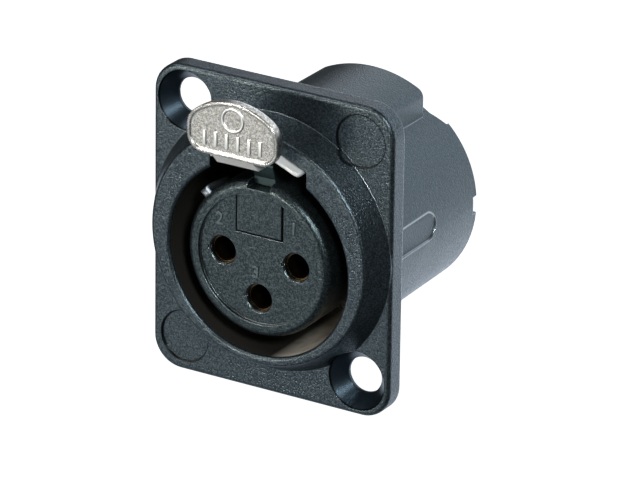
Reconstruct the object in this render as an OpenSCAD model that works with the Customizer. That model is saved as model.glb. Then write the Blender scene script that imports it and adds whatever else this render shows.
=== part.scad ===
// Panel socket for a round three-pole audio connector, female, with a push-to-release latch.
// X runs to the right and Z up as the panel is faced, and Y runs back through the panel.
// The origin is the centre of the flange's rear face, which lies on the panel.

/* [Flange] */
// Width of the flange
flange_w = 26; // [26:0.5:30]
// Height of the flange
flange_h = 31; // [31:0.5:36]
// Thickness of the flange
flange_t = 2; // [1.8:0.1:3]
// Radius of the flange's corners
corner_r = 3; // [2:0.25:4]
// Rounding of the flange's front edges
edge_r = 0.4; // [0.2:0.05:0.7]
// Distance across between the fixing holes
hole_dx = 19; // [18.5:0.25:20]
// Distance up between the fixing holes
hole_dz = 24; // [23.5:0.25:25]
// Diameter of a fixing hole
hole_d = 3.6; // [3:0.1:3.8]
// Diameter of a countersink at the front
sink_d = 6; // [5:0.25:6.5]
// Diameter of the plain discs sunk in the other two corners
disc_d = 5.2; // [4:0.2:5.4]
// Depth of the plain discs
disc_depth = 0.22; // [0.1:0.02:0.4]

/* [Ring and mouth] */
// How far the ring stands in front of the flange
ring_out = 2.5; // [2:0.1:3.5]
// Wall of the ring under the mouth, at the front
ring_wall = 0.95; // [0.8:0.05:1.2]
// How much wider the ring is at its foot than at its front
ring_flare = 1.2; // [0.6:0.1:1.2]
// Rounding of the ring's outer edge
ring_edge_r = 0.4; // [0.2:0.05:0.5]
// Bore that takes the plug's shell
mouth_d = 19.4; // [19.2:0.1:19.8]
// Depth of the bore from the ring's front
mouth_depth = 14.3; // [13.5:0.1:15]
// Rounding of the mouth's lip
lip_r = 0.35; // [0.2:0.05:0.5]
// Height of the flange's centre above the connector's axis
axis_drop = 1.1; // [1:0.05:1.3]

/* [Barrel] */
// Wall of the barrel at the flange
barrel_wall = 1; // [0.9:0.05:1.2]
// Length of the barrel behind the panel
barrel_len = 18.7; // [18:0.1:20]
// How much the barrel's radius falls towards the rear
barrel_draft = 0.3; // [0.1:0.05:0.4]
// Width of the latch hump at the flange
hump_w = 11.7; // [11.4:0.1:12.4]
// Length of the latch hump behind the panel
hump_len = 16.4; // [16:0.1:16.8]
// Radius of the hump's shoulders
hump_r = 1.2; // [0.9:0.1:1.4]
// Wall over the latch
roof_wall = 0.5; // [0.4:0.05:0.6]

/* [Insert] */
// Diameter of the insert
insert_d = 15.5; // [15:0.1:15.8]
// How far the insert's rim sits behind the ring's front
insert_back = 0.05; // [0:0.05:0.4]
// Rounding of the insert's rim
rim_r = 0.75; // [0.3:0.05:0.8]
// Diameter of the sunk middle of the face
face_d = 13; // [12.6:0.1:13.4]
// Depth of the sunk middle of the face
face_depth = 0.35; // [0.2:0.05:0.5]
// Width of the keyway
key_w = 2.5; // [2.3:0.05:2.7]
// Depth of the keyway
key_depth = 0.75; // [0.6:0.05:0.85]
// Width of the block in the face
block_w = 4.8; // [4:0.1:5]
// Height of the block's foot above the axis
block_foot = 2.45; // [2.3:0.05:2.8]

/* [Contacts] */
// Radius of the circle of contacts
contact_circle_r = 4; // [3.9:0.05:4.1]
// Bore of a contact, for a 2.4 mm pin
contact_bore_d = 2.44; // [2.42:0.01:2.5]
// Outside diameter of a contact
contact_d = 3.4; // [3.2:0.05:3.5]
// Diameter of the holes in the insert's face
face_hole_d = 2.72; // [2.6:0.02:3]
// Width of the slit in a contact
slit_w = 0.35; // [0.25:0.05:0.5]
// Length of the solder cups behind the rear insulator
cup_out = 3.6; // [3:0.1:4.5]

/* [Latch] */
// Width of the push tab
tab_w = 9.72; // [9:0.1:10.4]
// Height of the push tab
tab_h = 5.45; // [5.2:0.05:6]
// Thickness of the push tab
tab_t = 0.9; // [0.7:0.05:1.2]
// Travel of the push tab
tab_travel = 2.2; // [2:0.1:2.4]
// Gap between the push tab and the ring's front
tab_gap = 3.7; // [3.4:0.1:4.2]
// Width of the tab's neck
neck_w = 4.5; // [4.3:0.1:4.8]
// Thickness of the tab's neck
neck_t = 0.85; // [0.7:0.05:0.9]
// Reach of each wing from the middle
wing_reach = 4.85; // [4.6:0.05:5.1]
// Thickness of the wings
wing_t = 0.35; // [0.25:0.05:0.4]
// Slope of the wings
wing_slope = 22.5; // [18:0.5:23]
// Lift of the hook's nose when the tab is pushed in
nose_lift = 2.2; // [2.1:0.05:2.3]
// Diameter of the hook's pivot pin
pivot_d = 1.2; // [1:0.05:1.3]

/* [Hidden] */
$fn = 96;

// Clearances: between parts that move, between parts that are fitted, and round a pin
run_gap = 0.15;
fit_gap = 0.05;
pin_gap = 0.03;
eps = 0.01;
through = 2 * flange_w;

// Mouth and barrel
mouth_r = mouth_d / 2;
ring_front = -flange_t - ring_out;
mouth_floor = ring_front + mouth_depth;
floor_lip = 0.5;
floor_t = 0.5;
barrel_r = mouth_r + barrel_wall;
shoulder_y = mouth_floor + floor_t;
ring_r = mouth_r + axis_drop + ring_wall;
sink_depth = 0.8 * flange_t;
rim_notch_w = 1.75;
rim_notch_depth = 0.8;
top_notch_half = 7.1;
top_notch_depth = 1.3;
top_notch_step = 0.5;
top_notch_slant = 1.4;
groove_w = 2.8;
groove_end = 10.6;
groove_depth = 0.3;
groove_z = -0.2;

// Hump and the room inside it for the latch
hump_top_r = barrel_r + axis_drop;
hump_side = hump_w / 2;
hump_end_t = 1.2;
hump_edge = 0.3;
hump_draft = barrel_draft / 2;
room_half = hump_side - 1.3;
room_top_r = hump_top_r - roof_wall;
room_end = hump_len - hump_end_t;

// Insert
insert_r = insert_d / 2;
rim_y = ring_front + insert_back;
face_y = rim_y + face_depth;
insert_end = shoulder_y + 2;
snap_y = shoulder_y + 0.5;
snap_w = 0.8;
snap_r = insert_r - 0.3;
key_floor = insert_r - key_depth;
block_depth = 3;
block_gap = 0.2;
block_roof = key_floor - 0.5;
block_front = face_y - 0.1;
block_end = face_y + block_depth;
lip_depth = 0.4;
hole_edge = 0.12;
nick_w = 0.3;
nick_depth = 0.25;
contact_front = face_y + lip_depth + 0.1;
contact_bore_r = contact_bore_d / 2;
contact_r = contact_d / 2;
socket_len = 11.9;
shank_r = 1.2;
collar_r = 2.15;
collar_t = 0.8;
cup_r = 1.35;
cup_bore_r = 0.95;
cup_depth = 2.9;
contact_angles = [0, 180, 270];

// Rear
retainer_t = 1;
retainer_end = insert_end + retainer_t;
carrier_end = barrel_len - 0.5;
carrier_r = mouth_r - fit_gap;
cup_end = carrier_end + cup_out;
carrier_collar_r = 2.1;
carrier_collar_h = 0.8;

// Earthing spring, in a groove along the insert
spring_angle = 139;
earth_w = 1.1;
earth_t = 0.3;
earth_bed = insert_r - 0.38;
earth_curl_r = 0.55;
earth_nose = rim_y + 0.45;
earth_leg = 3.2;
tag_w = 2.4;

// Latch
plug_r = mouth_r - 0.25;
nose_front = ring_front + 1.3;
nose_tip = nose_front - 0.5;
nose_back = nose_front + 3;
arm_floor = plug_r - axis_drop + 0.1;
hook_w = 2.3;
hub_r = 0.9;
pivot_setback = 3.2;
pivot_y = hump_len - pivot_setback;
pivot_z = arm_floor + hub_r + 0.25;
hook_turn = asin(nose_lift / (pivot_y - nose_back));
pivot_r = pivot_d / 2;
pivot_half = room_half + 0.35;
slot_half = hook_w / 2 + run_gap;
roof_at_slot = sqrt(pow(room_top_r, 2) - pow(slot_half, 2));
hook_roof = roof_at_slot - 0.12;
nose_foot = key_floor - axis_drop + 0.1;
nose_foot_back = nose_foot + 0.3;
ramp_foot = nose_foot + 0.75;
tip_z = hook_top(nose_tip);
lift_arm = 5;
lift_y = pivot_y - lift_arm;
lift_r = 0.35;
lift_half = neck_w / 2 - 0.15;
rail_foot = arm_floor + 0.3;
rail_low = rail_foot + 0.47;
lift_z = rail_low + lift_r + pin_gap;
lift_rise = lift_arm * sin(hook_turn) - (pivot_z - lift_z) * (1 - cos(hook_turn));
lift_back = lift_arm * (1 - cos(hook_turn));
lift_slope = lift_rise / (tab_travel - lift_back);
ramp_drop = (lift_r + pin_gap) * sqrt(1 + pow(lift_slope, 2));
ramp_low_y = lift_y - (rail_low - lift_z + ramp_drop) / lift_slope;
neck_foot = 9.5;
neck_top = neck_foot + neck_t;
neck_roof = neck_top + run_gap;
ramp_high_y = lift_y - (neck_top - lift_z + ramp_drop) / lift_slope;
neck_roof_half = neck_w / 2 + run_gap;
window_front = nose_tip - tab_travel - 0.5;
fork_end = lift_y + 0.9;
tab_back = ring_front - tab_gap;
tab_front = tab_back - tab_t;
tab_foot = 10.6;
tab_rim = 0.32;
tab_sink = 0.12;
wing_front = ring_front - 0.9;
wing_back = wing_front + 3.1;
wing_root = neck_w / 2 - 0.3;
wing_top_at = 2.6;
wing_top = 9.8;
wing_end_r = 0.5;
notch_half = wing_reach + 0.4;
notch_end = wing_back + tab_travel + 0.7;
spring_wire = 0.32;
spring_coil_r = pivot_r + spring_wire / 2 + 0.06;
spring_turns = 3;

// Top of the hook's arm, which lies along the hump's roof when the hook is turned up
function hook_top(y) = pivot_z + (hook_roof - pivot_z - (pivot_y - y) * sin(hook_turn)) / cos(hook_turn);
// Top of a wing and the roof over it, at a distance from the middle
function wing_z(x) = wing_top - (x - wing_top_at) * tan(wing_slope);
function roof_z(x) = wing_z(x) + run_gap;
// Points of an arc, from angle a0 to a1 in n steps
function arc(cx, cy, r, a0, a1, n = 8) = [for (i = [0:n])
    let (a = a0 + (a1 - a0) * i / n) [cx + r * cos(a), cy + r * sin(a)]];

// Solid of an outline in X and Z, from y0 to y1
module across(y0, y1) translate([0, y1, 0]) rotate([90, 0, 0]) linear_extrude(y1 - y0) children();
// Solid of an outline in Y and Z, centred on X
module along(w) rotate([90, 0, 90]) translate([0, 0, -w / 2]) linear_extrude(w) children();
// Solid turned about the Y axis, from an outline in radius and Y
module turned() rotate([-90, 0, 0]) rotate_extrude() children();
// Round bar along Y
module rod(r, y0, y1) translate([0, y0, 0]) rotate([-90, 0, 0]) cylinder(r = r, h = y1 - y0);
// Round bar along X, centred
module cross_bar(r, half, y, z) translate([-half, y, z]) rotate([0, 90, 0]) cylinder(r = r, h = 2 * half);
// Child moved to the connector's axis
module on_axis() translate([0, 0, -axis_drop]) children();
// Child at each contact
module at_contacts() on_axis() for (a = contact_angles)
    translate([contact_circle_r * cos(a), 0, contact_circle_r * sin(a)]) children();
// Child turned from the top to the earthing spring's place
module at_earth() on_axis() rotate([0, 90 - spring_angle, 0]) children();

// Flange plate with rounded front edges
module flange_plate() hull() {
    for (a = [0:22.5:90]) let (inset = edge_r * (1 - sin(a)), y = -flange_t + edge_r * (1 - cos(a)))
        for (x = [-1, 1], z = [-1, 1])
            translate([x * (flange_w / 2 - corner_r), y, z * (flange_h / 2 - corner_r)])
                rotate([-90, 0, 0]) cylinder(r = corner_r - inset, h = 0.1, $fn = 48);
    for (x = [-1, 1], z = [-1, 1])
        translate([x * (flange_w / 2 - corner_r), 0, z * (flange_h / 2 - corner_r)])
            rotate([90, 0, 0]) cylinder(r = corner_r, h = 0.1, $fn = 48);
}

// Raised ring with a conical flank, turned about the flange's centre
module ring_boss() turned() polygon(concat(
    [[0, -flange_t / 2], [0, ring_front]],
    arc(ring_r - ring_edge_r, ring_front + ring_edge_r, ring_edge_r, 270, 332, 5),
    [[ring_r + ring_flare, -flange_t], [ring_r + ring_flare, -flange_t / 2]]));

// Bore for the plug with a rounded lip
module mouth_bore() on_axis() turned() polygon(concat(
    [[0, mouth_floor], [0, ring_front - 1], [mouth_r + lip_r, ring_front - 1]],
    arc(mouth_r + lip_r, ring_front + lip_r, lip_r, 270, 180, 5),
    [[mouth_r, mouth_floor]]));

module barrel() on_axis() turned()
    polygon([[0, -flange_t / 2], [barrel_r, -flange_t / 2], [barrel_r, 0],
        [barrel_r - barrel_draft, barrel_len - 0.15], [barrel_r - barrel_draft - 0.15, barrel_len],
        [0, barrel_len]]);

// Outline of the latch hump, drawn in by d: an arc about the flange's centre, with round shoulders
function hump_outline(d) = let (
    shoulder_x = hump_side - hump_r,
    shoulder_z = sqrt(pow(hump_top_r - hump_r, 2) - pow(shoulder_x, 2)),
    a = atan2(shoulder_z, shoulder_x))
    concat(arc(shoulder_x, shoulder_z, hump_r - d, 0, a, 8), arc(0, 0, hump_top_r - d, a, 180 - a, 24),
        arc(-shoulder_x, shoulder_z, hump_r - d, 180 - a, 180, 8),
        [[d - hump_side, mouth_r / 2], [hump_side - d, mouth_r / 2]]);

// Drafted hump with its rear edge broken
module hump() hull() {
    across(-flange_t / 2, 0) polygon(hump_outline(0));
    across(hump_len - hump_edge - eps, hump_len - hump_edge) polygon(hump_outline(hump_draft));
    across(hump_len - eps, hump_len) polygon(hump_outline(hump_draft + hump_edge));
}

// Room in the hump, and the roofed notch in the ring that the tab's neck and wings slide in
module latch_room() {
    intersection() {
        across(-eps, room_end) polygon([[-room_half, 0], [room_half, 0],
            [room_half, hump_top_r], [-room_half, hump_top_r]]);
        rod(room_top_r, -1, room_end + 1);
    }
    across(ring_front - 1, notch_end) polygon([[-notch_half, mouth_r / 2], [-notch_half, roof_z(notch_half)],
        [-neck_roof_half, roof_z(neck_roof_half)], [-neck_roof_half, neck_roof],
        [neck_roof_half, neck_roof], [neck_roof_half, roof_z(neck_roof_half)],
        [notch_half, roof_z(notch_half)], [notch_half, mouth_r / 2]]);
    across(ring_front + 0.4, notch_end)
        polygon([[-slot_half, mouth_r / 2], [-slot_half, hook_roof + run_gap],
            [slot_half, hook_roof + run_gap], [slot_half, mouth_r / 2]]);
}

// Fixing hole with its countersink, at the flange's front
module fixing_hole() {
    rod(hole_d / 2, -flange_t - 1, 1);
    turned() polygon([[0, ring_front - 1], [sink_d / 2, ring_front - 1], [sink_d / 2, -flange_t],
        [hole_d / 2, -flange_t + sink_depth], [0, -flange_t + sink_depth]]);
}

module shell() color([0.16, 0.18, 0.2]) difference() {
    union() {
        difference() {
            flange_plate();
            for (s = [-1, 1]) translate([s * hole_dx / 2, 0, s * hole_dz / 2])
                rod(disc_d / 2, -flange_t - 1, -flange_t + disc_depth);
        }
        ring_boss();
        barrel();
        hump();
    }
    for (s = [-1, 1]) translate([-s * hole_dx / 2, 0, s * hole_dz / 2]) fixing_hole();
    mouth_bore();
    on_axis() {
        rod(mouth_r - floor_lip, 0, barrel_len);
        rod(mouth_r, shoulder_y, barrel_len + 1);
    }
    latch_room();
    cross_bar(pivot_r + fit_gap / 2, pivot_half + 0.1, pivot_y, pivot_z);
    // Notches in the rear rim, for the carrier's keys and over the latch
    translate([-barrel_r - 1, barrel_len - rim_notch_depth, -axis_drop - rim_notch_w / 2])
        cube([2 * barrel_r + 2, rim_notch_depth + 1, rim_notch_w]);
    translate([0, barrel_len, mouth_r / 2]) linear_extrude(barrel_r)
        polygon([[-top_notch_half, 1], [-top_notch_half, -top_notch_step],
            [top_notch_slant - top_notch_half, -top_notch_depth],
            [top_notch_half - top_notch_slant, -top_notch_depth], [top_notch_half, -top_notch_step],
            [top_notch_half, 1]]);
    // Shallow round-ended grooves on both sides of the barrel
    for (s = [-1, 1]) translate([s * (barrel_r - groove_depth + 1), 0, groove_z]) {
        cross_bar(groove_w / 2, 1, groove_end - groove_w / 2, 0);
        translate([-1, 0, -groove_w / 2]) cube([2, groove_end - groove_w / 2, groove_w]);
    }
}

module insert() color([0.2, 0.22, 0.23]) difference() {
    // Body with a snap groove near its rear end
    on_axis() turned() polygon(concat(
        [[0, insert_end], [0, face_y], [face_d / 2, face_y], [face_d / 2, rim_y]],
        arc(insert_r - rim_r, rim_y + rim_r, rim_r, 270, 360, 6),
        [[insert_r, snap_y], [snap_r, snap_y], [snap_r, snap_y + snap_w],
            [insert_r - fit_gap, snap_y + snap_w], [insert_r - fit_gap, insert_end - 0.2],
            [insert_r - fit_gap - 0.2, insert_end]]));
    // Keyway along the top
    on_axis() translate([-key_w / 2, rim_y - 1, key_floor])
        cube([key_w, shoulder_y - rim_y + 1, insert_r]);
    // Pocket for the block
    on_axis() intersection() {
        translate([-block_w / 2 - block_gap, rim_y, block_foot - block_gap])
            cube([block_w + 2 * block_gap, block_end - rim_y, block_roof - block_foot + block_gap]);
        rod(face_d / 2, rim_y - 1, barrel_len);
    }
    at_contacts() {
        turned() polygon([[0, face_y - 1], [face_hole_d / 2 + hole_edge, face_y - 1],
            [face_hole_d / 2 + hole_edge, face_y], [face_hole_d / 2, face_y + hole_edge],
            [face_hole_d / 2, face_y + lip_depth],
            [contact_r + pin_gap, face_y + lip_depth], [contact_r + pin_gap, insert_end - collar_t - pin_gap],
            [collar_r + pin_gap, insert_end - collar_t - pin_gap], [collar_r + pin_gap, insert_end + 1],
            [0, insert_end + 1]]);
        // Nick that marks the hole's left side
        translate([-face_hole_d / 2 - nick_depth, face_y - 1, -nick_w / 2])
            cube([face_hole_d / 2, 1 + nick_depth, nick_w]);
    }
    // Bed of the earthing spring
    at_earth() translate([-earth_w / 2 - fit_gap, earth_nose - fit_gap, earth_bed - fit_gap])
        cube([earth_w + 2 * fit_gap, barrel_len, insert_r]);
}

// Block set in the insert's face under the keyway
module keyway_block() color([0.2, 0.22, 0.23]) on_axis() intersection() {
    translate([-block_w / 2, block_front, block_foot])
        cube([block_w, block_end - block_front, block_roof - block_foot - fit_gap]);
    rod(face_d / 2 - fit_gap, rim_y, barrel_len);
}

// Turned contact: a slit socket in front, a collar, and a cut-away solder cup behind
module contact(a) color([0.72, 0.58, 0.3]) on_axis()
    translate([contact_circle_r * cos(a), 0, contact_circle_r * sin(a)]) difference() {
        turned() polygon([[0, contact_front], [contact_r - 0.25, contact_front],
            [contact_r, contact_front + 0.3], [contact_r, insert_end - collar_t],
            [collar_r, insert_end - collar_t],
            [collar_r, insert_end], [shank_r, insert_end], [shank_r, carrier_end],
            [cup_r, carrier_end + 0.05], [cup_r, cup_end], [0, cup_end]]);
        rod(contact_bore_r, contact_front - 1, contact_front + socket_len);
        translate([-slit_w / 2, contact_front - 1, 0]) cube([slit_w, socket_len / 2 + 1, contact_r + 1]);
        rod(cup_bore_r, cup_end - cup_depth, cup_end + 1);
        translate([-cup_r - 1, cup_end - cup_depth + 0.6, 0.35]) cube([2 * cup_r + 2, cup_depth, cup_r + 1]);
    }
module contact_1() contact(contact_angles[0]);
module contact_2() contact(contact_angles[1]);
module contact_3() contact(contact_angles[2]);

// Cap that snaps on the insert's rear end, stops it against the shell's ledge and holds the
// contacts' collars in it
module contact_retainer() color([0.25, 0.26, 0.27]) difference() {
    on_axis() turned() polygon([[0, insert_end], [insert_r + fit_gap, insert_end],
        [insert_r + fit_gap, snap_y + snap_w - fit_gap], [snap_r + fit_gap, snap_y + snap_w - fit_gap],
        [snap_r + fit_gap, snap_y + fit_gap], [insert_r + fit_gap, snap_y + fit_gap],
        [insert_r + fit_gap, shoulder_y], [carrier_r, shoulder_y], [carrier_r, retainer_end],
        [0, retainer_end]]);
    at_contacts() rod(shank_r + pin_gap, 0, barrel_len);
    at_earth() translate([-earth_w / 2 - fit_gap, 0, earth_bed - fit_gap])
        cube([earth_w + 2 * fit_gap, barrel_len, earth_t + 2 * fit_gap]);
}

module rear_insulator() color([0.12, 0.12, 0.13]) difference() {
    union() {
        on_axis() rod(carrier_r, retainer_end, carrier_end - 0.6);
        on_axis() rod(carrier_r - 0.7, retainer_end, carrier_end);
        at_contacts() rod(carrier_collar_r, carrier_end - eps, carrier_end + carrier_collar_h);
        // Keys in the rim's notches
        intersection() {
            on_axis() rod(carrier_r + 0.4, barrel_len - rim_notch_depth + fit_gap, carrier_end);
            translate([-barrel_r, 0, -axis_drop - rim_notch_w / 2 + fit_gap])
                cube([2 * barrel_r, barrel_len, rim_notch_w - 2 * fit_gap]);
        }
    }
    at_contacts() {
        rod(shank_r + pin_gap, 0, carrier_end);
        rod(cup_r + fit_gap, carrier_end - eps, barrel_len + cup_out);
    }
    at_earth() translate([-tag_w / 2 - fit_gap, 0, earth_bed - fit_gap])
        cube([tag_w + 2 * fit_gap, barrel_len, earth_t + 2 * fit_gap]);
}

// Hairpin spring that earths the plug's shell, rounded at its nose
module ground_spring() color("silver") at_earth() intersection() {
    curl_y = earth_nose + earth_curl_r;
    curl_z = earth_bed + earth_curl_r;
    leg_end = curl_y + earth_leg;
    nose_r = earth_w / 2;
    union() {
        translate([0, earth_nose + nose_r, 0]) cylinder(r = nose_r, h = through);
        translate([-nose_r, earth_nose + nose_r, 0]) cube([earth_w, barrel_len, through]);
    }
    along(earth_w) polygon(concat(
        [[insert_end, earth_bed], [insert_end, earth_bed + earth_t]],
        arc(curl_y, curl_z, earth_curl_r - earth_t, 270, 100, 10),
        [[leg_end, curl_z + earth_curl_r - earth_t - 0.25], [leg_end, curl_z + earth_curl_r - 0.25]],
        arc(curl_y, curl_z, earth_curl_r, 95, 270, 12)));
}
// Solder tag that the earthing spring ends in
module ground_tag() color("silver") at_earth() {
    translate([-earth_w / 2, insert_end, earth_bed])
        cube([earth_w, retainer_end - insert_end + 0.2, earth_t]);
    difference() {
        union() {
            translate([-tag_w / 2, retainer_end + 0.1, earth_bed])
                cube([tag_w, cup_end - retainer_end - tag_w / 2 - 0.1, earth_t]);
            translate([0, cup_end - tag_w / 2, earth_bed]) cylinder(r = tag_w / 2, h = earth_t);
        }
        translate([0, cup_end - tag_w / 2, earth_bed - 1]) cylinder(r = tag_w / 4, h = earth_t + 2);
    }
}

// Outline of the push tab, drawn in by d all round
function tab_outline(d) = let (
    top = tab_foot + tab_h,
    side_r = 2.2,
    foot_r = 1.7,
    top_r = 6.9,
    side_x = tab_w / 2 - side_r,
    top_z = top - top_r,
    side_z = top_z + sqrt(pow(top_r - side_r, 2) - pow(side_x, 2)),
    a = atan2(side_z - top_z, side_x),
    foot_x = tab_w / 2 - foot_r,
    foot_z = tab_foot + foot_r)
    concat(arc(foot_x, foot_z, foot_r - d, 270, 360, 8), arc(side_x, side_z, side_r - d, 0, a, 6),
        arc(0, top_z, top_r - d, a, 180 - a, 12), arc(-side_x, side_z, side_r - d, 180 - a, 180, 6),
        arc(-foot_x, foot_z, foot_r - d, 180, 270, 8));

module push_tab() color([0.8, 0.8, 0.78]) {
    difference() {
        across(tab_front, tab_back) polygon(tab_outline(0));
        across(tab_front - 1, tab_front + tab_sink) polygon(tab_outline(tab_rim));
    }
    difference() {
        // Neck that cranks back under the plate, and the fork behind it
        along(neck_w) polygon([[tab_front + 0.1, tab_foot + 0.3], [tab_front + 0.1, tab_foot],
            [tab_front + 1.1, neck_foot], [ring_front + 4, neck_foot], [nose_back, rail_foot],
            [fork_end, rail_foot], [fork_end, rail_low], [ramp_low_y, rail_low],
            [ramp_high_y, neck_top], [tab_back + 0.35, neck_top], [tab_back, neck_top + 0.35],
            [tab_back, tab_foot + 0.3]]);
        translate([-slot_half, window_front, 0]) cube([2 * slot_half, barrel_len, through]);
    }
    // Wings that guide the tab under the notch's roof
    intersection() {
        across(wing_front, wing_back) for (s = [-1, 1])
            polygon([[s * wing_root, wing_z(wing_root)], [s * wing_reach, wing_z(wing_reach)],
                [s * wing_reach, wing_z(wing_reach) - wing_t], [s * wing_root, wing_z(wing_root) - wing_t]]);
        linear_extrude(through)
            polygon(concat(arc(wing_reach - wing_end_r, wing_front + wing_end_r, wing_end_r, 270, 360, 5),
                [[wing_reach, wing_back], [-wing_reach, wing_back]],
                arc(wing_end_r - wing_reach, wing_front + wing_end_r, wing_end_r, 180, 270, 5)));
    }
}

module latch_hook() color([0.2, 0.22, 0.23]) difference() {
    union() {
        along(hook_w) polygon([[nose_front, nose_foot], [nose_front, ramp_foot], [nose_tip, tip_z - 0.2],
            [nose_tip, tip_z], [pivot_y, hook_top(pivot_y)], [pivot_y, pivot_z - hub_r],
            [mouth_floor, pivot_z - hub_r], [mouth_floor - 0.3, arm_floor],
            [nose_back, arm_floor], [nose_back, nose_foot_back]]);
        cross_bar(hub_r, hook_w / 2, pivot_y, pivot_z);
    }
    cross_bar(pivot_r + pin_gap, hook_w, pivot_y, pivot_z);
    cross_bar(lift_r, hook_w, lift_y, lift_z);
}
module lift_pin() color("silver") cross_bar(lift_r, lift_half, lift_y, lift_z);
module pivot_pin() color("silver") cross_bar(pivot_r, pivot_half, pivot_y, pivot_z);

// Torsion spring round the pivot pin, as close coils with a leg on the hook's arm
module hook_spring() color([0.7, 0.7, 0.72]) {
    wire_r = spring_wire / 2;
    inner = spring_coil_r - wire_r;
    outer = spring_coil_r + wire_r;
    leg_l = 3;
    translate([hook_w / 2 + fit_gap, pivot_y, pivot_z]) {
        rotate([0, 90, 0]) rotate_extrude() polygon(concat(
            [[inner, spring_turns * spring_wire], [inner, 0]],
            [for (i = [0:spring_turns - 1], k = [0, 1, 2]) [outer - (k == 1 ? 0 : wire_r / 2),
                (i + k / 2) * spring_wire - (k == 2 ? 0.01 : 0)]]));
        translate([wire_r, 0, spring_coil_r]) rotate([90, 0, 0])
            cylinder(r = 0.8 * wire_r, h = leg_l, $fn = 16);
    }
}

shell();
insert();
keyway_block();
contact_1();
contact_2();
contact_3();
contact_retainer();
rear_insulator();
ground_spring();
ground_tag();
push_tab();
latch_hook();
lift_pin();
pivot_pin();
hook_spring();
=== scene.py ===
import math

import bpy
from mathutils import Matrix, Vector


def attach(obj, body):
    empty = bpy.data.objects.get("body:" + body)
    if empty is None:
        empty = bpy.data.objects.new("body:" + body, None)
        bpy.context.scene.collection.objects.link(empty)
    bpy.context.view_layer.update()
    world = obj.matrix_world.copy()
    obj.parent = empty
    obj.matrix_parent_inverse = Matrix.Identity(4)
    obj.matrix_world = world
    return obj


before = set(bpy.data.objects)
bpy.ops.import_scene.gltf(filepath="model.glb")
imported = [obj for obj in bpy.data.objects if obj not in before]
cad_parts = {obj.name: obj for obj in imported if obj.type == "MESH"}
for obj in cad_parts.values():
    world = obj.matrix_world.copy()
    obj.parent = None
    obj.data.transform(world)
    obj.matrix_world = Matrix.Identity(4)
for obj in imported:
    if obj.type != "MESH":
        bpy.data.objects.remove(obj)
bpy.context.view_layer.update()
MM = 0.001


# Camera, where the photograph was taken from: a long lens half a metre away, to the right of
# the socket and a little above it, and turned by a fraction of a degree. The focal length and
# the aim are in pixels of the photograph's width.
azimuth, elevation, roll = math.radians(31.22), math.radians(22.76), math.radians(0.645)
distance = 0.5257
photo_width, focal = 622, 5619
aim_right, aim_up = 28.8, 6.3
sensor = 36
towards = Vector((math.sin(azimuth) * math.cos(elevation), -math.cos(azimuth) * math.cos(elevation),
                  math.sin(elevation)))
level = Vector((math.cos(azimuth), math.sin(azimuth), 0))
upright = towards.cross(level)
sideways = level * math.cos(roll) + upright * math.sin(roll)
upright = towards.cross(sideways)
back = (towards - sideways * (aim_right / focal) + upright * (aim_up / focal)).normalized()
sideways = upright.cross(back).normalized()
upright = back.cross(sideways)
bpy.ops.object.camera_add()
camera = bpy.context.object
camera.name = "camera"
axes = Matrix((sideways, upright, back)).transposed().to_4x4()
camera.matrix_world = Matrix.Translation(towards * distance) @ axes
camera.data.sensor_width = sensor
camera.data.lens = focal / photo_width * sensor
camera.data.clip_start, camera.data.clip_end = 0.05, 20
bpy.context.scene.camera = camera


# Shell: one die-cast zinc piece, flange, ring, barrel and latch hump in one, blasted and then
# coated in a fine-grained satin black. The plug's bore is smoother, with a painted patch of warm
# light at its lower right. The countersinks are smooth, with a painted bluish sheen. A painted
# highlight goes round each barrel groove, and painted shade round each countersink and plain
# disc. Edges are lighter, partly from wear of the coat and partly as a painted highlight.
class Wire:
    """A shader socket that takes part in sums: each operator adds its Math node."""

    def __init__(self, socket):
        self.socket = socket
        self.tree = socket.id_data

    def node(self, kind, settings=None, sockets=None, out=0):
        new = self.tree.nodes.new(kind)
        for name, value in (settings or {}).items():
            setattr(new, name, value)
        for name, value in (sockets or {}).items():
            if isinstance(value, Wire):
                self.tree.links.new(value.socket, new.inputs[name])
            else:
                new.inputs[name].default_value = value
        return Wire(new.outputs[out])

    def sum(self, operation, *others):
        return self.node("ShaderNodeMath", {"operation": operation}, dict(enumerate((self, *others))))

    def __add__(self, other):
        return self.sum("ADD", other)

    __radd__ = __add__

    def __sub__(self, other):
        return self.sum("SUBTRACT", other)

    def __rsub__(self, other):
        return self.node("ShaderNodeMath", {"operation": "SUBTRACT"}, {0: other, 1: self})

    def __mul__(self, other):
        return self.sum("MULTIPLY", other)

    __rmul__ = __mul__

    def size(self):
        """The value without its sign."""
        return self.sum("ABSOLUTE")

    def most(self, other):
        """The larger of two values."""
        return self.sum("MAXIMUM", other)

    def ramp(self, low, high, first, last):
        return self.node("ShaderNodeMapRange", {"clamp": True},
                         {"Value": self, "From Min": low, "From Max": high, "To Min": first, "To Max": last})

    def below(self, edge, width):
        """1 where the value is under edge, 0 where it's over, with a soft step between."""
        return self.ramp(edge - width, edge + width, 1.0, 0.0)

    def between(self, low, high, width):
        """1 where the value is between two edges, 0 where it's outside, with soft steps."""
        return self.below(high, width) * (1 - self.below(low, width))

    def spread(self, low, high):
        """0 where the value is low or less, 1 where it's high or more, and even between."""
        return self.ramp(low, high, 0.0, 1.0)

    def mixed(self, first, second):
        """A colour between two, by this value."""
        first, second = (colour if isinstance(colour, Wire) else (*colour, 1) for colour in (first, second))
        return self.node("ShaderNodeMix", {"data_type": "RGBA"}, {0: self, 6: first, 7: second}, out=2)


def new_finish(name):
    """A new material: its shader, and the place on the piece in metres."""
    material = bpy.data.materials.new(name)
    material.use_nodes = True
    tree = material.node_tree
    shader = tree.nodes["Principled BSDF"]
    place = Wire(tree.nodes.new("ShaderNodeTexCoord").outputs["Object"])
    return material, shader, place


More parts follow.
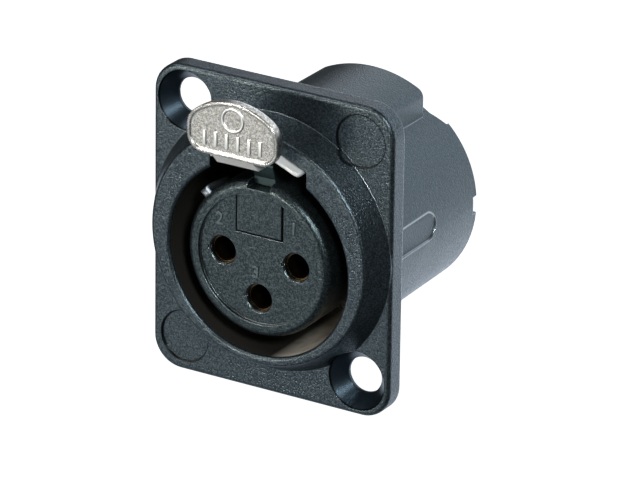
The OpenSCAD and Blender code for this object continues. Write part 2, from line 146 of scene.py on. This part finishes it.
def put(shader, **values):
    """Sets a shader's sockets to constants, or links them."""
    for name, value in values.items():
        socket = shader.inputs[name.replace("_", " ")]
        if isinstance(value, Wire):
            value.tree.links.new(value.socket, socket)
        else:
            socket.default_value = value


def split(place):
    """The three coordinates of a place."""
    apart = place.node("ShaderNodeSeparateXYZ", None, {0: place}).socket.node
    return [Wire(apart.outputs[axis]) for axis in range(3)]


def reach(first, second):
    """The distance from an axis, from the two coordinates across it."""
    return (first * first + second * second).sum("SQRT")


def noise(place, grain_mm, detail=3.0, rough=0.6):
    return place.node("ShaderNodeTexNoise", None, {"Vector": place, "Scale": 1 / (grain_mm * MM),
                                                   "Detail": detail, "Roughness": rough})


def rounding(place, radius_mm, samples=4):
    """Normals that round each edge."""
    return place.node("ShaderNodeBevel", {"samples": samples}, {"Radius": radius_mm * MM})


def edges(place, radius_mm):
    """Normals rounded over each edge, and how much of an edge there is: 0 on a face, 1 on an edge."""
    rounded = rounding(place, radius_mm, 6)
    flat = place.node("ShaderNodeNewGeometry", out=3)
    same = place.node("ShaderNodeVectorMath", {"operation": "DOT_PRODUCT"}, {0: rounded, 1: flat}, out=1)
    return rounded, (1 - same).spread(0.006, 0.1)


def relief(height, strength, depth_mm, under=None):
    """Normals that follow a height, on top of the normals under it."""
    sockets = {"Strength": strength, "Distance": depth_mm * MM, "Height": height}
    if under is not None:
        sockets["Normal"] = under
    return height.node("ShaderNodeBump", None, sockets)


def dress(node, material):
    """Gives a CAD node its finish."""
    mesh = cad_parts[node].data
    mesh.materials.clear()
    mesh.materials.append(material)


axis_drop, mouth_r, bore_front_y = 1.1 * MM, 9.7 * MM, 4.1 * MM
groove_x, groove_z, groove_half, groove_end_y = 9.5 * MM, -0.2 * MM, 1.4 * MM, 9.2 * MM
corner_x, corner_z, sink_r = 9.5 * MM, 12 * MM, 3.02 * MM
step = 0.04 * MM
black_coat, shader, place = new_finish("black_coat")
x, y, z = split(place)
rounded, edge = edges(place, 0.14)
grain, speck, cloud = noise(place, 0.22, 1.0), noise(place, 0.13, 1.0), noise(place, 3.0, 2.0)

on_flange = y.below(-0.3 * MM, 0.1 * MM)
on_barrel = (-1 * y).below(0.1 * MM, 0.1 * MM)
in_bore = reach(x, z + axis_drop).below(mouth_r + 0.12 * MM, step) * (-1 * y).below(bore_front_y, 0.1 * MM)
# Painted light: a warm patch of light on the bore's lower right.
painted_bore_light = (x * 0.64 - (z + axis_drop) * 0.77).spread(8.2 * MM, 9.6 * MM)
# Painted highlight: a light line along each barrel groove's outline.
from_groove = (reach((y - groove_end_y).most(0.0), z - groove_z) - groove_half).size()
painted_groove_highlight = from_groove.below(0.09 * MM, step) * on_barrel * (1 - x.size().below(groove_x, 0.2 * MM))
from_corner = reach(x.size() - corner_x, z.size() - corner_z)
holed_corner = (x * z).below(0, MM * MM)
in_sink = from_corner.below(sink_r, step) * holed_corner * on_flange
# Painted shade: a dark line round each countersink and each plain disc.
painted_sink_shade = from_corner.between(2.9 * MM, 3.1 * MM, step) * in_sink
painted_disc_shade = from_corner.between(2.5 * MM, 2.68 * MM, step) * (1 - holed_corner) * on_flange

lit = (grain * 0.4 + speck * 0.6).spread(0.42, 0.66)
lit = lit * (1 - on_barrel * 0.6) + on_barrel * 0.22
coat = lit.mixed((0.038, 0.051, 0.059), (0.12, 0.153, 0.172))
# Edges are lighter, partly from wear and partly as a painted highlight; the groove outlines are a painted
# highlight.
coat = (edge * 0.9).most(painted_groove_highlight * 0.8).mixed(coat, (0.36, 0.40, 0.43))
# Painted sheen: the countersinks get an even bluish tone.
coat = in_sink.mixed(coat, (0.045, 0.065, 0.084))
# Painted shade: the dark lines round the countersinks and plain discs.
coat = painted_sink_shade.most(painted_disc_shade * 0.9).mixed(coat, (0.006, 0.007, 0.008))
# The bore's dark colour, with the painted patch of warm light at its lower right.
bore = (painted_bore_light * cloud.spread(0.1, 0.5)).mixed((0.022, 0.020, 0.017), (0.75, 0.68, 0.58))
height = (grain * 0.5 + speck) * (1 - in_bore * 0.9) * (1 - in_sink * 0.75) * (1 - edge * 0.6)
put(shader, Base_Color=in_bore.mixed(coat, bore), Roughness=0.27 + cloud * 0.06 - edge * 0.05,
    Metallic=0.9 - in_bore * 0.85, Normal=relief(height, 0.8, 0.05, rounded))
dress("shell", black_coat)


# Insert: the round moulding that carries the contacts, in a stiff dark grey plastic, with the
# block that is let into its face under the keyway. Both have the mould's fine grain, and edges
# lightened as a painted highlight.
slate, shader, place = new_finish("slate_plastic")
rounded, edge = edges(place, 0.12)
grain, speck, cloud = noise(place, 0.27, 1.0), noise(place, 0.14, 1.0), noise(place, 2.5, 2.0)
lit = (grain * 0.4 + speck * 0.6).spread(0.42, 0.66)
moulded = lit.mixed((0.030, 0.041, 0.044), (0.105, 0.135, 0.145))
# Edges lighter: a painted highlight.
put(shader, Base_Color=(edge * 0.8).mixed(moulded, (0.24, 0.27, 0.28)),
    Roughness=0.27 + cloud * 0.06 - edge * 0.05, Metallic=0.9,
    Normal=relief(grain * 0.5 + speck, 0.8, 0.04, rounded))
dress("insert", slate)
dress("keyway_block", slate)


# Pin numbers, moulded in low relief on the insert's face, one beside each contact's hole.
# Their tops are a little lighter than the face: a painted highlight.
def finish_mesh(piece, name, material, body):
    """Applies a new piece's place, names it and puts it on its body."""
    bpy.ops.object.select_all(action="DESELECT")
    piece.select_set(True)
    bpy.context.view_layer.objects.active = piece
    bpy.ops.object.transform_apply(location=True, rotation=True, scale=True)
    piece.name = name
    piece.data.materials.clear()
    piece.data.materials.append(material)
    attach(piece, body)


# The figures' lighter tone is a painted highlight.
figures, shader, place = new_finish("figures_painted_highlight")
rub = noise(place, 0.2, 2.0)
put(shader, Base_Color=rub.mixed((0.07, 0.09, 0.097), (0.20, 0.24, 0.25)), Roughness=0.3 + rub * 0.1,
    Metallic=0.9, Normal=relief(rub, 0.4, 0.02))
face_y, figure_sunk, figure_size = -4.1 * MM, 0.005 * MM, 1.7 * MM
upright_turn = (math.pi / 2, 0, 0)
for figure, across, up in (("1", 3.75, 2.73), ("2", -4.34, 1.99), ("3", -0.35, -2.55)):
    bpy.ops.object.select_all(action="DESELECT")
    bpy.ops.object.text_add(location=(across * MM, face_y + figure_sunk, up * MM), rotation=upright_turn)
    number = bpy.context.object
    number.data.body = figure
    number.data.size = figure_size
    number.data.align_x, number.data.align_y = "CENTER", "CENTER"
    number.data.extrude, number.data.bevel_depth = 0.08 * MM, 0.03 * MM
    number.data.resolution_u = 4
    bpy.ops.object.convert(target="MESH")
    finish_mesh(number, "pin_number_" + figure, figures, "socket")


# Contacts: three turned and slit bronze sockets, plated, that end behind in solder cups. Their
# fronts, deep in the insert's holes, are darker as painted shade, and their backs are bright.
bronze, shader, place = new_finish("plated_bronze")
lathe = place.node("ShaderNodeTexWave", {"wave_type": "BANDS", "bands_direction": "Y"},
                   {"Vector": place, "Scale": 1 / (0.5 * MM), "Distortion": 1.5, "Detail": 2.0})
stain = noise(place, 0.8)
# Painted shade: the contacts are darker in front, inside the insert's holes, than behind.
toward_back = split(place)[1].spread(8 * MM, 12 * MM)
put(shader, Base_Color=toward_back.mixed(stain.mixed((0.07, 0.045, 0.025), (0.20, 0.14, 0.075)),
                                   stain.mixed((0.50, 0.36, 0.18), (0.78, 0.62, 0.36))),
    Roughness=0.24 + stain * 0.16, Metallic=1.0, Normal=relief(lathe + stain * 0.5, 0.2, 0.01))
for node in ("contact_1", "contact_2", "contact_3"):
    dress(node, bronze)


# Retainer and rear carrier: two black mouldings that close the back and keep the contacts in.
# Both have a fine grain and softly rounded edges.
rear_black, shader, place = new_finish("rear_black")
grain = noise(place, 0.3, 3.0)
put(shader, Base_Color=grain.mixed((0.010, 0.010, 0.011), (0.022, 0.022, 0.024)),
    Roughness=0.4 + grain * 0.15, Normal=relief(grain, 0.3, 0.02, rounding(place, 0.12)))
dress("contact_retainer", rear_black)
dress("rear_insulator", rear_black)


# Earthing spring and its solder tag: one strip of tinned spring bronze, bent to a hairpin,
# darker in front than behind. The latch's two pins have the same finish.
tinned, shader, place = new_finish("tinned_strip")
smear = noise(place, 0.35, 4.0)
toward_back = split(place)[1].spread(4 * MM, 8 * MM)
put(shader, Base_Color=toward_back.mixed(smear.mixed((0.22, 0.25, 0.28), (0.46, 0.50, 0.54)),
                                   smear.mixed((0.50, 0.52, 0.54), (0.80, 0.81, 0.82))),
    Roughness=0.36 + smear * 0.2, Metallic=1.0, Normal=relief(smear, 0.2, 0.01, rounding(place, 0.06)))
for node in ("ground_spring", "ground_tag", "lift_pin", "pivot_pin"):
    dress(node, tinned)


# Push tab: pressed from nickel-plated sheet, with a coined rim round a finely blasted field,
# and a raised ring and grip marks for the thumb. Its neck and wings, under the plate, are smooth,
# pale and far less metallic than nickel: a painted reflection.
nickel, shader, place = new_finish("satin_nickel")
grain, patch = noise(place, 0.12, 2.0, 0.7), noise(place, 0.3, 2.0)
rounded, edge = edges(place, 0.28)
pits = (grain * 0.55 + patch * 0.45).spread(0.42, 0.6)
plate_foot = 10.6 * MM
# Neck and wings, under the plate: a pale, barely metallic finish, which is a painted reflection.
under_plate = split(place)[2].below(plate_foot, 0.05 * MM)
smooth = edge.most(under_plate)
blasted = pits.mixed((0.30, 0.28, 0.255), (0.88, 0.855, 0.80))
put(shader, Base_Color=smooth.mixed(blasted, (0.96, 0.95, 0.92)),
    Roughness=0.36 - pits * 0.08 - edge * 0.06, Metallic=1 - under_plate * 0.8,
    Normal=relief(grain * (1 - smooth), 0.5, 0.02, rounded))
dress("push_tab", nickel)

bright, shader, place = new_finish("bright_nickel")
rub = noise(place, 0.25, 3.0)
put(shader, Base_Color=rub.mixed((0.93, 0.92, 0.88), (0.99, 0.98, 0.95)), Roughness=0.34 + rub * 0.08,
    Metallic=1.0, Normal=relief(rub, 0.3, 0.02))
field_y, ring_z, rib_z = -8.96 * MM, 14.35 * MM, 12.15 * MM
ring_r, ring_half_width, ring_flattened = 1.1 * MM, 0.2 * MM, 0.65
rib_size = (0.38 * MM, 0.26 * MM, 1.5 * MM)
bpy.ops.object.select_all(action="DESELECT")
bpy.ops.mesh.primitive_torus_add(location=(0, field_y, ring_z), rotation=upright_turn,
                                 major_radius=ring_r, minor_radius=ring_half_width,
                                 major_segments=48, minor_segments=12)
ring_mark = bpy.context.object
ring_mark.scale = (1, 1, ring_flattened)
bpy.ops.object.shade_smooth()
finish_mesh(ring_mark, "tab_ring_mark", bright, "tab")
for count, across in enumerate((-3.0, -1.8, -0.6, 0.6, 1.8, 3.0)):
    bpy.ops.object.select_all(action="DESELECT")
    bpy.ops.mesh.primitive_cube_add(size=1, location=(across * MM, field_y, rib_z))
    rib = bpy.context.object
    rib.scale = rib_size
    bpy.ops.object.transform_apply(location=True, rotation=True, scale=True)
    bevel = rib.modifiers.new("bevel", "BEVEL")
    bevel.width, bevel.segments = 0.07 * MM, 4
    bpy.ops.object.modifier_apply(modifier="bevel")
    bpy.ops.object.shade_smooth_by_angle(angle=math.radians(40))
    finish_mesh(rib, "tab_grip_mark_%d" % count, bright, "tab")


# Latch hook: a blackened steel lever on a cross pin in the hump. Its nose fills the keyway's
# width behind the tab, and drops into the notch of the plug's shell.
blackened, shader, place = new_finish("blackened_steel")
grain = noise(place, 0.18, 3.0)
put(shader, Base_Color=grain.mixed((0.035, 0.060, 0.062), (0.09, 0.13, 0.135)),
    Roughness=0.34 + grain * 0.12, Metallic=0.9, Normal=relief(grain, 0.25, 0.02, rounding(place, 0.12)))
dress("latch_hook", blackened)


# Hook spring: three close coils of round spring wire on the pivot pin, with one leg along the
# hook's arm.
dress("hook_spring", tinned)


# Studio: a plain pale floor and a pale backdrop, which the camera sees but which throw no light,
# and six soft lamps. The flange and the tab reflect the front lamp and the barrel the back and
# floor lamps; the key and top lamps catch edges and grain, and the warm lamp reaches the bore.
pale, shader, place = new_finish("pale_floor")
put(shader, Base_Color=(0.9, 0.9, 0.9, 1), Roughness=0.9, Emission_Color=(1, 1, 1, 1), Emission_Strength=1.0)
bpy.ops.object.select_all(action="DESELECT")
bpy.ops.mesh.primitive_plane_add(size=2, location=(0, 0, -0.5))
floor = bpy.context.object
floor.name = "floor"
bpy.ops.object.select_all(action="DESELECT")
bpy.ops.mesh.primitive_uv_sphere_add(segments=32, ring_count=16, radius=1.2)
backdrop = bpy.context.object
backdrop.name = "backdrop"
for piece in (floor, backdrop):
    piece.data.materials.append(pale)
    piece.visible_diffuse = piece.visible_glossy = piece.visible_shadow = piece.visible_transmission = False

world = bpy.data.worlds.new("studio")
bpy.context.scene.world = world
world.use_nodes = True
background = world.node_tree.nodes["Background"]
background.inputs["Color"].default_value = (0.85, 0.93, 1, 1)
background.inputs["Strength"].default_value = 0.07
bpy.context.scene.view_settings.view_transform = "Standard"


def lamp(name, place, size, bright, colour=(1, 1, 1)):
    """A soft square lamp that faces the socket, as bright to look at as bright says."""
    bpy.ops.object.light_add(type="AREA", location=place)
    light = bpy.context.object
    light.name = name
    light.data.size = size
    light.data.energy = bright * math.pi * size ** 2
    light.data.color = colour
    light.visible_camera = False
    light.rotation_mode = "QUATERNION"
    light.rotation_quaternion = (-Vector(place)).to_track_quat("-Z", "Y")


lamp("front_lamp", (-0.22, -0.34, -0.17), 0.45, 0.55, (0.90, 0.98, 1.05))
lamp("key_lamp", (0.354, -0.366, 0.312), 0.10, 80, (0.92, 0.98, 1.0))
lamp("back_lamp", (0.1, 0.5, 0.05), 0.9, 1.3, (0.92, 0.98, 1.05))
lamp("floor_lamp", (-0.12, 0.25, -0.3), 0.6, 0.62, (0.82, 0.95, 1.12))
lamp("top_lamp", (-0.24, -0.18, 0.38), 0.2, 5.0)
lamp("warm_lamp", (-0.225, -0.44, 0.04), 0.1, 30, (1.0, 0.92, 0.80))
